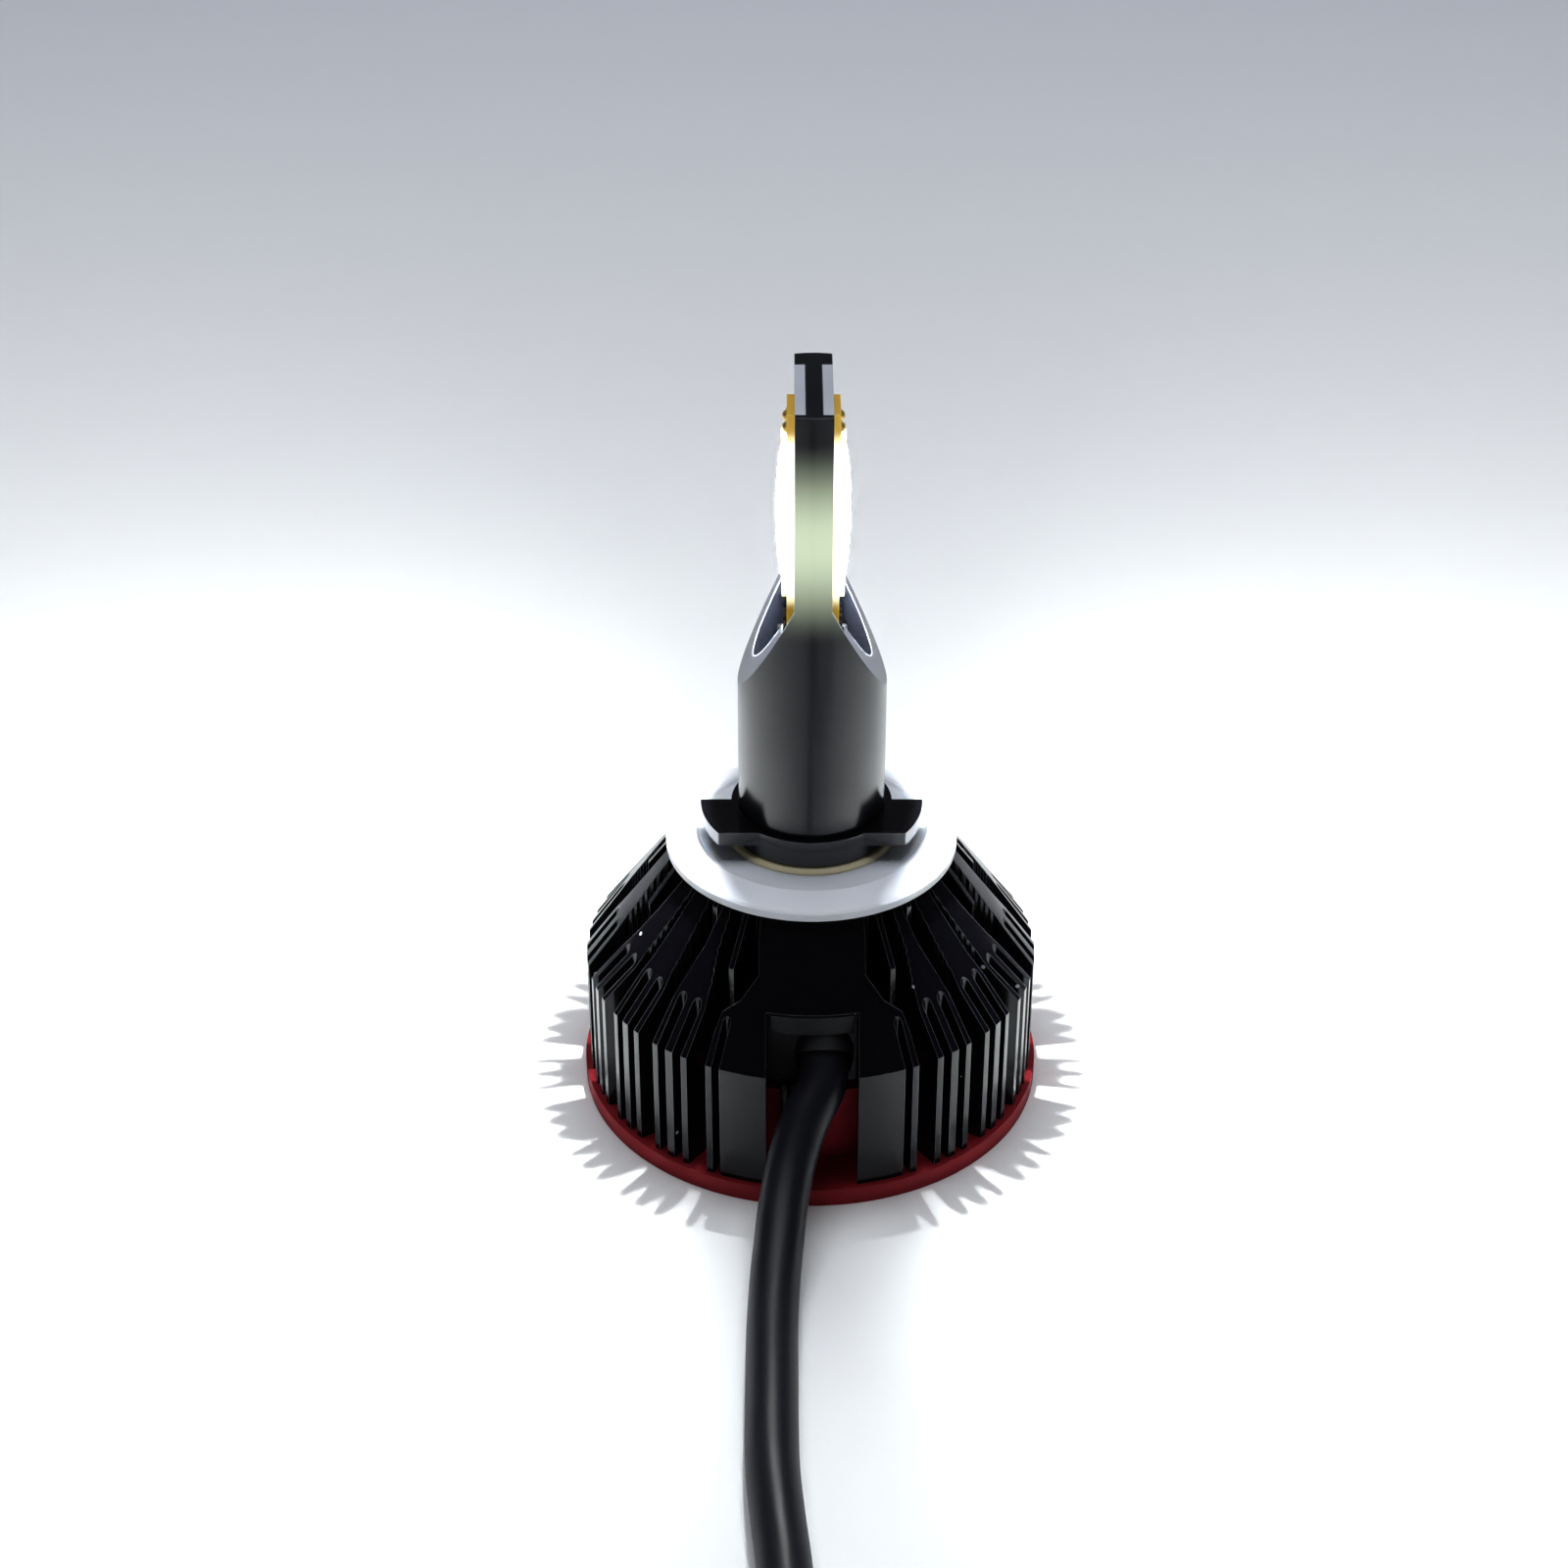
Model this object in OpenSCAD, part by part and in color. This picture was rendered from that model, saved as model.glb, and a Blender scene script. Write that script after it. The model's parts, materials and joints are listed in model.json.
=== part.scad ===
// LED headlight bulb: a stem with two lit boards on a finned, fan-cooled base.
// Origin at the centre of the foot's underside, +Z along the stem towards its tip.
// The lead leaves the base towards -Y. Angles called azimuths start at -Y and
// grow towards -X, and the heat sink is the same on both sides of the YZ plane.

/* [Overall] */
// Height of the whole bulb, from the foot to the tip of the stem
total_h = 70.8; // [62:0.1:86]
// Radius of the heat sink across its fins
sink_r = 21; // [19.5:0.1:26]
// How far the red foot stands out past the fins
foot_lip = 0.5; // [0:0.1:2]
// Thickness of the red foot
foot_t = 1.76; // [1.7:0.02:2.4]

/* [Heat sink] */
// Height at which the straight fins turn into the cone
shoulder_z = 13.8; // [11.5:0.1:17]
// Slope of the cone above the horizontal
cone_angle = 54; // [50:1:58]
// Height of the heat sink's flat top
sink_top_z = 25.5; // [24.4:0.1:31]
// Radius of the solid hub that the webs stand on
hub_r = 11.4; // [10.8:0.1:11.9]
// Thickness of one fin at the rim
fin_t = 0.62; // [0.5:0.02:0.75]
// Angle between neighbouring fins of a fork
fin_step = 4.5; // [4.2:0.1:4.7]
// Length of a fork's fins, from the rim inwards
fin_len = 2.75; // [2.2:0.05:3.2]
// Depth of the fins that stand outside the fan's bore
fan_band = 4.35; // [4:0.01:5.3]
// Height of the fan's bore above the foot's underside
bore_z = 10.2; // [8.6:0.1:12]
// Depth of the fine teeth along the webs
tooth = 0.13; // [0.05:0.01:0.2]
// Radius of the driver's cavity
cavity_r = 9.4; // [9.3:0.1:9.9]
// Height of the cavity's ceiling
cavity_z = 21.5; // [20.5:0.1:22.5]

/* [Lead slot] */
// Width of the slot that the lead leaves through
slot_w = 8.2; // [7.8:0.02:9.9]
// Height of the slot's top
slot_z = 18.4; // [17.6:0.1:19.4]

/* [Stem] */
// Radius of the stem's round part
stem_r = 6.62; // [5.8:0.02:7.96]
// Wall of the stem's round part
stem_wall = 1.4; // [1:0.05:1.7]
// Thickness of the flat blade that carries the boards
blade_t = 3.24; // [2.7:0.02:3.9]
// Height of the scoops' lower lips
scoop_z = 42.5; // [38:0.1:46]
// Rise of the scoops for each millimetre inwards
scoop_rise = 2; // [1.6:0.05:2.3]
// Thickness of each bare plate that is let into the blade
plate_t = 0.88; // [0.7:0.02:1]
// Depth of the solid bar along the blade's back edge
back_bar = 2.5; // [2:0.1:3.5]

/* [Lamp boards] */
// Width of each lamp board
board_w = 4.2; // [3.4:0.1:5.2]
// Thickness of each lamp board
board_t = 0.65; // [0.5:0.05:0.9]
// Length of each lamp board
board_len = 22.5; // [19:0.5:24]
// Length of the lit strip
lit_len = 14.2; // [11.8:0.1:17]
// Height of the lit strip above its board
lit_t = 0.7; // [0.5:0.05:1]

/* [Collar and seals] */
// Radius of the locating lugs
lug_r = 10.1; // [9.4:0.1:12.2]
// Thickness of the locating lugs
lug_t = 1.3; // [1:0.05:1.7]
// Height of the collar's top face
collar_z = 29.8; // [29.2:0.1:31]
// Outer radius of the milky seal
seal_r = 13.3; // [12.9:0.1:16]
// Height of the milky seal's raised rim
seal_h = 1.6; // [1.4:0.05:1.9]
// Width of the cream ring around the stem
neck_seal_w = 1.23; // [1:0.01:1.5]

/* [Fan] */
// Wall of the fan's duct
duct_wall = 1.2; // [1:0.05:1.4]
// Height of the duct's top edge
duct_z = 9.2; // [8.9:0.1:9.7]
// Number of fan blades
blades = 9; // [7:1:11]
// Radius of the fan's hub
fan_hub_r = 7.8; // [7.6:0.05:8.4]
// Radius of the fan's shaft
shaft_r = 0.75; // [0.6:0.05:0.9]
// Outer radius of the shaft's sleeve
sleeve_r = 1.6; // [1.45:0.05:1.75]

/* [Lead and plug] */
// Diameter of the lead
lead_d = 4.4; // [3.8:0.1:5]
// Radius of the coil at the middle of its turn
coil_r = 24; // [22:0.5:26.5]
// Length of the plug's housing
plug_len = 24; // [20:0.5:29]
// Width of the plug's housing
plug_w = 16; // [15:0.5:19.5]
// Height of the plug's housing
plug_h = 11; // [10.4:0.1:13.2]

/* [Hidden] */
$fn = 96;
eps = 0.01;
// Clearances: a running fit, a seated joint and a free gap
run_gap = 0.05;
seat_gap = 0.1;
free_gap = 0.3;

// Heat sink: the radii that its plan is drawn on
foot_r = sink_r + foot_lip;
sink_bore_r = sink_r - fan_band;
cone_top_r = sink_r - (sink_top_z - shoulder_z) / tan(cone_angle);
fork_r = sink_r - fin_len;
web_ref_r = hub_r + 1.6;
flare_r = fork_r - 1.2;
fork_half = (fin_step * PI / 180 * sink_r) + fin_t / 2;
slot_in_fork = fin_step * PI / 180 * fork_r - fin_t * 0.8;
// Each web: azimuth at its neck, azimuth at the rim, half width of its neck
WEBS = [
    [36, 37.5, 0.45], [49.6, 53.3, 0.95], [59.9, 69.2, 0.85],
    [84.8, 85, 0.85], [109.7, 100.8, 0.85], [120, 116.7, 0.95],
    [133.6, 132.5, 0.5], [148, 148.3, 0.8], [163.5, 164.2, 0.8], [180, 180, 0.8]
];
// Each short fin between two webs: azimuth and length outside the hub
SHORT_FINS = [
    [27, 4.4], [41.4, 1.7], [73.2, 4.1], [96.4, 3.8],
    [127, 1.7], [141, 3.9], [156, 3.9], [172, 3.9]
];
short_t = 0.5;
// Front block: half width beside the slot, and azimuths of its corners at the rim
block_wall = 0.6;
block_half = slot_w / 2 + block_wall;
block_edge = 23.2;
branch_mid = 26;
branch_slot = 0.75;

// Lead clamp, which fills the slot's inner end above the fan's wires. The way for the
// lead's cores begins way_in behind the lead's end
wire_r = 0.35;
// The lamp wires stand this far off the boards, and overlap their feet by the second.
wire_off = 0.1;
wire_land = 0.8;
clamp_half = slot_w / 2 - seat_gap;
lip_half = slot_w / 2 - 0.4;
clamp_face = sink_bore_r;
clamp_lip = 1;
clamp_floor = duct_z + 4 * wire_r;
clamp_roof = slot_z - 0.2;
lip_floor = clamp_roof - 1.9;
grommet_r = lead_d / 2 + 0.4;
grommet_deep = 2;
way_z = 15.2;
way_r = 1.3;
way_in = 0.85;
supply_r = 0.42;
core_offset = 0.5;

// Collar, seals and the stem they sit on
neck_seal_r = stem_r + neck_seal_w;
collar_bore_r = stem_r + 0.08;
collar_neck_r = collar_bore_r + 0.6;
seal_floor_t = seal_h * 0.75;
neck_seal_top = sink_top_z + seal_floor_t + 0.4;
collar_foot_z = neck_seal_top + seat_gap;
lug_front = 5.65;
back_lug_half = 4;

// Blade, plates and boards
plate_front = sqrt(pow(stem_r, 2) - pow(blade_t / 2, 2)) - 0.55;
plate_back = stem_r - back_bar;
web_half = blade_t / 2 - plate_t;
board_top = total_h - 1.8;
board_foot = board_top - board_len;
plate_foot = board_foot + 1.5;
lit_top = board_top - 2.8;
lit_w = board_w - 1.2;
channel_r = stem_r - stem_wall;
channel_top = scoop_z + (stem_r - blade_t / 2) * scoop_rise + 0.5;

// Fan: heights of its layers
duct_r = sink_bore_r - seat_gap - duct_wall;
duct_out_r = sink_bore_r - seat_gap;
boss_z = 0.5;
boss_r = 6.9;
sleeve_foot = 1.7;
sleeve_top = 6.4;
holder_r = sleeve_r + 0.6;
fan_board_t = 0.7;
core_z = 3.3;
core_t = 2.1;
core_r = 5.5;
pole_count = 4;
pole_half = 0.6;
mouth_half = 0.5;
coil_over = 0.45;
magnet_in = 6;
magnet_out = 6.85;
yoke_out = 7.15;
hub_foot = 3;
hub_top = 8.4;
hub_roof = 0.9;
blade_foot = 3.1;
blade_top = 8.7;
blade_tilt = 38;
blade_thick = 0.9;
tip_r = duct_r - 0.6;
shaft_foot = 1.15;
clip_t = 0.25;
strut_w = 1.8;
// The fan's two wires lie on a wider strut, to one side of the lead
WIRE_X = [-1.7, -2.5];
wire_strut_x = -3.1;
wire_notch = 0.4;

// Screws that hold the fan frame
screw_ring_r = sink_bore_r + 0.95;
screw_r = 0.6;
screw_head_r = 1.2;
screw_top = 7.5;
SCREW_AZ = [17, -17, 148.3, -148.3];

// Driver in the cavity
driver_z = 12.4;
driver_t = 1.2;
driver_r = cavity_r - free_gap;
driver_top = driver_z + driver_t;
// The board seats against a shoulder in the cavity
shoulder_w = 0.8;

// Lead: the points of its route, its coil's centre and its plug
LEAD = [
    [1.1, -16.6, 13.5], [0.9, -18.5, 11.6], [-0.4, -20.5, 9.8], [-1.4, -22.6, 8],
    [-2.1, -24.9, 6.4], [-2.6, -27.5, 5], [-2.9, -30.3, 3.9], [-3.2, -33.5, 3],
    [-3.4, -37, 2.4], [-3.5, -41, 2.2], [-3.5, -46, 2.2], [-3.5, -51, 2.2],
    [-3.4, -56, 2.2], [-3, -61, 2.2], [-2.5, -66, 2.2], [-2.1, -72, 2.2],
    [-2, -78, 2.2], [-2, -85, 2.2], [-2, -92, 2.2], [-2, -98, 2.2]
];
TAIL = [[-2, -98, 6.6], [-2.1, -102, 6.6], [-2.6, -106, 6.3], [-3.4, -110, 5.8], [-4, -114, 5.5]];
coil_x = LEAD[len(LEAD) - 1].x + coil_r;
coil_y = LEAD[len(LEAD) - 1].y;
coil_h = TAIL[0].z + lead_d / 2;
lead_sides = 10;
plug_at = TAIL[len(TAIL) - 1];
boot_len = 7;
cavity_deep = 11;
cavity_wall = 1.5;
blade_pitch = 6.6;
pin_w = 2.4;
pin_t = 0.8;

// ---- helpers ----
function pol(r, a) = [-r * sin(a), -r * cos(a)];
function deg(width, r) = width / r * 180 / PI;
function unit(v) = v / norm(v);
function zigzag(p, q, count, depth) =
    let (along = (q - p) / (2 * count), out = unit([-(q - p).y, (q - p).x]) * depth)
    [for (i = [1 : 2 * count - 1]) p + along * i + (i % 2 == 1 ? out : [0, 0])];

module ring(r_out, r_in, z0, z1) {
    translate([0, 0, z0])
        difference() {
            cylinder(r = r_out, h = z1 - z0);
            translate([0, 0, -1]) cylinder(r = r_in, h = z1 - z0 + 2);
        }
}

module disc(r, z0, z1) {
    translate([0, 0, z0]) cylinder(r = r, h = z1 - z0);
}

module box(low, high) {
    translate(low) cube(high - low);
}

module both_sides() {
    children();
    mirror([1, 0, 0]) children();
}

// A round bar from p to q
module bar(p, q, r, sides = 24) {
    d = q - p;
    translate(p)
        rotate([0, acos(d.z / norm(d)), atan2(d.y, d.x)])
            cylinder(r = r, h = norm(d), $fn = sides);
}

// ---- heat sink ----
function web_az(w, r) = w[0] + (w[1] - w[0]) * (r - web_ref_r) / (sink_r - web_ref_r);
function web_side(w, side) = [
    for (p = [
        [hub_r - 1, w[2]], [web_ref_r, w[2]], [flare_r - 2, w[2] + 0.22],
        [flare_r, fork_half * 0.72], [fork_r, fork_half * 0.9], [sink_r + 1, fork_half * 1.03]
    ]) pol(p[0], web_az(w, p[0]) + side * deg(p[1], p[0]))
];
function toothed(side_points) = [
    for (i = [0 : len(side_points) - 1])
        each (i == 1 || i == 2)
            ? concat([side_points[i]], zigzag(side_points[i], side_points[i + 1], i == 1 ? 3 : 4, tooth))
            : [side_points[i]]
];
function reversed(list) = [for (i = [len(list) - 1 : -1 : 0]) list[i]];

module web(w) {
    difference() {
        polygon(concat(toothed(web_side(w, -1)), reversed(web_side(w, 1))));
        for (side = [-1, 1]) fork_slot(w, side * fin_step / 2);
    }
}

module fork_slot(w, offset_az) {
    root = pol(fork_r, web_az(w, fork_r) + offset_az * sink_r / fork_r);
    mouth = pol(sink_r + 2, web_az(w, sink_r + 2) + offset_az);
    slot_plan(root, mouth, slot_in_fork);
}

module slot_plan(root, mouth, width) {
    d = mouth - root;
    translate(root) circle(d = width, $fn = 16);
    translate(root) rotate(atan2(d.y, d.x)) translate([0, -width / 2]) square([norm(d), width]);
}

module short_fin(f) {
    rotate(-f[0])
        translate([-short_t / 2, -(hub_r + f[1])])
            square([short_t, f[1] + 1]);
}

module front_block() {
    difference() {
        polygon([
            [0, -hub_r + 2], pol(hub_r - 1, 24), [-block_half, -web_ref_r], [-block_half, -flare_r + 2],
            pol(flare_r + 0.2, 21.6), pol(fork_r - 0.2, branch_mid + 0.2),
            pol(fork_r + 1, branch_mid + deg(fin_t / 2, sink_r)),
            pol(sink_r + 1, branch_mid + deg(fin_t / 2, sink_r)),
            pol(sink_r + 1, 12), [0, -sink_r - 1]
        ]);
        slot_plan(
            pol(fork_r + 0.35, block_edge + deg(branch_slot / 2, sink_r) - 0.1),
            pol(sink_r + 2, block_edge + deg(branch_slot / 2, sink_r)),
            branch_slot
        );
    }
}

module raise_plan() {
    translate([0, 0, foot_t - 1]) linear_extrude(height = sink_top_z) children();
}

module sink_bar() {
    raise_plan() circle(r = hub_r);
    for (w = WEBS) {
        raise_plan() web(w);
        if (w[1] < 180) mirror([1, 0, 0]) raise_plan() web(w);
    }
    both_sides() {
        for (f = SHORT_FINS) raise_plan() short_fin(f);
        raise_plan() front_block();
    }
}

module sink_envelope() {
    rotate_extrude()
        polygon([
            [0, foot_t], [sink_r, foot_t], [sink_r, shoulder_z],
            [cone_top_r, sink_top_z], [0, sink_top_z]
        ]);
}

module heat_sink() {
    color("#111114")
        difference() {
            intersection() {
                sink_bar();
                sink_envelope();
            }
            disc(sink_bore_r, 0, bore_z);
            disc(cavity_r, 0, driver_top);
            disc(cavity_r - shoulder_w, 0, cavity_z);
            disc(stem_r, 0, sink_top_z + 1);
            box([-slot_w / 2, -sink_r - 1, 0], [slot_w / 2, -cavity_r + 1.5, slot_z]);
            for (a = SCREW_AZ) screw_at(a) disc(screw_r, 0, screw_top);
        }
}

module screw_at(az) {
    p = pol(screw_ring_r, az);
    translate([p.x, p.y, 0]) children();
}

// ---- stem and lamp boards ----
module scoop(side) {
    rise = scoop_rise * (stem_r - blade_t / 2);
    far = stem_r + 4;
    rotate([90, 0, 0])
        linear_extrude(height = 4 * stem_r, center = true)
            polygon([
                [side * blade_t / 2, scoop_z + rise], [side * far, scoop_z - scoop_rise * (far - stem_r)],
                [side * far, total_h + 1], [side * blade_t / 2, total_h + 1]
            ]);
}

module stem() {
    color("#17181b")
        difference() {
            disc(stem_r, cavity_z, total_h);
            difference() {
                disc(channel_r, cavity_z - 1, channel_top);
                box([-blade_t / 2, -stem_r, 0], [blade_t / 2, stem_r, total_h]);
            }
            for (side = [-1, 1]) scoop(side);
            both_sides()
                box([web_half, -plate_front, plate_foot], [blade_t / 2 + 1, plate_back, total_h + 1]);
        }
}

module carrier_plate() {
    color("#c4c8cc") box([web_half, -plate_front, plate_foot], [blade_t / 2, plate_back, total_h]);
}

module led_board() {
    color("#d8a23a")
        box([blade_t / 2, -board_w / 2, board_foot], [blade_t / 2 + board_t, board_w / 2, board_top]);
}

module led_strip() {
    face = blade_t / 2 + board_t;
    color("#fffbe6")
        translate([face, 0, lit_top - lit_len])
            linear_extrude(height = lit_len)
                polygon([
                    [0, -lit_w / 2], [lit_t * 0.6, -lit_w / 2 * 0.9], [lit_t, -lit_w / 4],
                    [lit_t, lit_w / 4], [lit_t * 0.6, lit_w / 2 * 0.9], [0, lit_w / 2]
                ]);
}

module carrier_plate_right() { carrier_plate(); }
module carrier_plate_left() { mirror([1, 0, 0]) carrier_plate(); }
module led_board_right() { led_board(); }
module led_board_left() { mirror([1, 0, 0]) led_board(); }
module led_strip_right() { led_strip(); }
module led_strip_left() { mirror([1, 0, 0]) led_strip(); }

module lamp_wires() {
    x = blade_t / 2 + board_t + wire_r + wire_off;
    top = board_foot + wire_land;
    color("#1c1c1e")
        for (side = [-1, 1], y = [-1, 1])
            bar([side * x, y * board_w / 4, driver_top], [side * x, y * board_w / 4, top], wire_r);
}

// ---- collar and seals ----
module lug_plan() {
    intersection() {
        circle(r = lug_r);
        union() {
            translate([-lug_r, -lug_front]) square([2 * lug_r, lug_front]);
            translate([-back_lug_half, 0]) square([2 * back_lug_half, lug_r]);
        }
    }
}

module lock_collar() {
    color("#0d0d0f")
        difference() {
            union() {
                disc(collar_neck_r, collar_foot_z, collar_z);
                translate([0, 0, collar_z - lug_t]) linear_extrude(height = lug_t) lug_plan();
            }
            disc(collar_bore_r, collar_foot_z - 1, collar_z + 1);
        }
}

module seal_ring() {
    step_r = 10.5;
    floor_z = sink_top_z + seal_floor_t;
    color("#eef0f4")
        rotate_extrude()
            polygon([
                [neck_seal_r, sink_top_z], [seal_r, sink_top_z], [seal_r, sink_top_z + 0.65],
                [seal_r - 0.3, sink_top_z + 0.85], [step_r + 0.3, sink_top_z + seal_h],
                [step_r, sink_top_z + seal_h - 0.05], [step_r - 0.2, floor_z], [neck_seal_r, floor_z]
            ]);
}

module neck_seal() {
    color("#e9dfc0")
        rotate_extrude()
            polygon([
                [stem_r, sink_top_z], [neck_seal_r, sink_top_z], [neck_seal_r, neck_seal_top - 0.25],
                [neck_seal_r - 0.25, neck_seal_top], [stem_r, neck_seal_top]
            ]);
}

// ---- fan frame and motor ----
module fan_frame() {
    color("#b8333a")
        difference() {
            union() {
                ring(foot_r, duct_r, 0, foot_t);
                ring(duct_out_r, duct_r, foot_t, duct_z);
                disc(boss_r, boss_z, foot_t);
                ring(holder_r, sleeve_r, foot_t, sleeve_top - 0.8);
                for (a = [0 : 90 : 270])
                    rotate(a) box([-strut_w / 2, boss_r - 1, boss_z], [strut_w / 2, duct_r + 0.5, foot_t]);
                box([wire_strut_x, -duct_r - 0.5, boss_z], [0, -boss_r + 1, foot_t]);
            }
            disc(sleeve_r, boss_z + 0.4, foot_t + eps);
            for (a = SCREW_AZ) screw_at(a) {
                disc(screw_head_r, -1, 0.95);
                disc(screw_r, 0, foot_t + 1);
            }
            box(
                [WIRE_X[1] - wire_notch, -duct_out_r - 1, foot_t],
                [WIRE_X[0] + wire_notch, -duct_r + 1.5, foot_t + 3 * wire_r]
            );
        }
}

module frame_screws() {
    color("#8d9096")
        for (a = SCREW_AZ) screw_at(a) difference() {
            union() {
                disc(screw_head_r - seat_gap, 0.15, 0.95);
                disc(screw_r, 0.95 - eps, screw_top);
            }
            for (turn = [0, 90]) rotate(turn) box([-0.7, -0.14, 0], [0.7, 0.14, 0.5]);
        }
}

module bearing_sleeve() {
    color("#b08d57") ring(sleeve_r, shaft_r + run_gap, sleeve_foot, sleeve_top);
}

module fan_board() {
    color("#1f6b3a") ring(magnet_in - 0.2, holder_r, foot_t, foot_t + fan_board_t);
}

// The core is one disc with a winding window and a narrow mouth between each two poles
module stator_core() {
    color("#9aa0a8")
        rotate(45)
            difference() {
                disc(core_r, core_z, core_z + core_t);
                disc(holder_r, core_z - 1, core_z + core_t + 1);
                for (i = [0 : pole_count - 1]) rotate(i * 360 / pole_count) winding_window();
            }
}

module winding_window() {
    intersection() {
        ring(core_r - 0.8, holder_r + 0.9, core_z - 1, core_z + core_t + 1);
        box([pole_half, pole_half, core_z - 2], [core_r, core_r, core_z + core_t + 2]);
    }
    rotate(45) box([core_r - 1.5, -mouth_half, core_z - 2], [core_r + 1, mouth_half, core_z + core_t + 2]);
}

module stator_coils() {
    inner = holder_r + 1;
    outer = core_r - 1.1;
    color("#b5672c")
        for (i = [0 : pole_count - 1])
            rotate(45 + i * 360 / pole_count)
                difference() {
                    box([inner, -1.05, core_z - coil_over], [outer, 1.05, core_z + core_t + coil_over]);
                    box([inner - 1, -pole_half, core_z], [outer + 1, pole_half, core_z + core_t]);
                }
}

// Two wires from the fan's board along the wide strut, through the duct and up over its edge
module fan_wires() {
    board_r = magnet_in - 0.2;
    up_y = -duct_out_r - wire_r - 0.1;
    low_z = foot_t + wire_r;
    high_z = duct_z + 2 * wire_r;
    in_y = -driver_r + 1;
    color("#1a1a1a")
        for (x = WIRE_X) {
            start_y = -sqrt(pow(board_r, 2) - pow(x, 2)) - 0.15;
            bar([x, start_y, low_z], [x, up_y, low_z], wire_r);
            bar([x, up_y, low_z], [x, up_y, high_z], wire_r);
            bar([x, up_y, high_z], [x, in_y, high_z], wire_r);
            bar([x, in_y, high_z], [x, in_y, driver_z], wire_r);
            for (p = [[up_y, low_z], [up_y, high_z], [in_y, high_z]])
                translate([x, p[0], p[1]]) sphere(r = wire_r, $fn = 24);
        }
}

// ---- rotor ----
module fan_blade() {
    span = 2 * tip_r;
    intersection() {
        ring(tip_r, fan_hub_r - 0.3, blade_foot, blade_top);
        translate([0, 0, (blade_foot + blade_top) / 2])
            rotate([blade_tilt, 0, 0])
                translate([fan_hub_r - 1, -6, -blade_thick / 2])
                    cube([span, 12, blade_thick]);
    }
}

module fan_rotor() {
    color("#141414") {
        difference() {
            disc(fan_hub_r, hub_foot, hub_top);
            disc(yoke_out, hub_foot - 1, hub_top - hub_roof);
        }
        difference() {
            disc(shaft_r + 0.9, sleeve_top + free_gap, hub_top - hub_roof + eps);
            disc(shaft_r, sleeve_top, hub_top - hub_roof);
        }
        for (i = [0 : blades - 1]) rotate(i * 360 / blades) fan_blade();
    }
}

module rotor_yoke() {
    color("#8b8f95") ring(yoke_out, magnet_out, hub_foot, hub_top - hub_roof);
}

module rotor_magnet() {
    color("#3a3a3c") ring(magnet_out, magnet_in, hub_foot + 0.1, hub_top - hub_roof - 0.3);
}

module fan_shaft() {
    color("#c9ccd1")
        difference() {
            disc(shaft_r, shaft_foot, hub_top - hub_roof);
            ring(shaft_r + 1, shaft_r - 0.2, shaft_foot + 0.15, shaft_foot + 0.15 + clip_t);
        }
}

module shaft_clip() {
    color("#e3e3df")
        difference() {
            ring(sleeve_r - 0.2, shaft_r - 0.2, shaft_foot + 0.15, shaft_foot + 0.15 + clip_t);
            box([0, -0.25, 0], [sleeve_r, 0.25, sleeve_foot]);
        }
}

// ---- driver ----
module driver_board() {
    color("#1d5c34")
        difference() {
            disc(driver_r, driver_z, driver_top);
            box(
                [-clamp_half - free_gap, -driver_r - 1, driver_z - 1],
                [clamp_half + free_gap, -driver_r + 0.6, driver_top + 1]
            );
        }
}

module driver_coil() {
    color("#b5672c") translate([-4.8, 3.6, driver_top]) ring(2.4, 1.1, 0, 2.6);
}

module driver_capacitors() {
    color("#3b4a63") {
        translate([4.6, 3.9, driver_top]) disc(2.1, 0, 5);
        translate([0.2, 6.4, driver_top]) disc(1.6, 0, 4.4);
    }
}

module driver_chips() {
    color("#18181a") {
        box([-6.6, -3.6, driver_top], [-3.4, 0, driver_top + 1.3]);
        box([3.6, -3.4, driver_top], [6.8, -0.8, driver_top + 1]);
        box([-1.4, -5.4, driver_top], [1.4, -3, driver_top + 0.9]);
    }
}

// ---- lead, clamp and grommet ----
// A bore along the lead's first stretch, kept upright in X
module lead_way(r, start, end) {
    d = unit([0, (LEAD[1] - LEAD[0]).y, (LEAD[1] - LEAD[0]).z]);
    bar(LEAD[0] + d * start, LEAD[0] + d * end, r, 48);
}

module cable_clamp() {
    color("#1b1b1e")
        difference() {
            union() {
                box([-clamp_half, -clamp_face, clamp_floor], [clamp_half, -cavity_r, clamp_roof]);
                lip();
            }
            lead_way(grommet_r, -grommet_deep, 6);
            bar([LEAD[0].x, LEAD[0].y + way_in, way_z], [LEAD[0].x, -cavity_r + 1, way_z], way_r);
        }
}

module lip() {
    intersection() {
        ring(clamp_face + clamp_lip, clamp_face - 2, lip_floor, clamp_roof);
        box([-lip_half, -clamp_face - clamp_lip, 0], [lip_half, 0, slot_z]);
    }
}

module cable_grommet() {
    color("#101012")
        difference() {
            lead_way(grommet_r, -grommet_deep, 0);
            lead_way(way_r - 0.2, -grommet_deep - 1, 1);
        }
}

// The lead's two cores, from just inside the grommet through the clamp to the driver's board
module supply_wires() {
    back = unit([0, (LEAD[0] - LEAD[1]).y, (LEAD[0] - LEAD[1]).z]);
    start = LEAD[0] + back * free_gap;
    turn_y = LEAD[0].y + (way_z - LEAD[0].z) * back.y / back.z;
    board_y = -driver_r + 2;
    color("#b02a2a")
        for (side = [-1, 1]) {
            x = LEAD[0].x + side * core_offset;
            bar([x, start.y, start.z], [x, turn_y, way_z] + back * supply_r, supply_r);
            bar([x, turn_y, way_z], [x, board_y, way_z], supply_r);
            bar([x, board_y, way_z], [x, board_y, driver_top], supply_r);
        }
}

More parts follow.
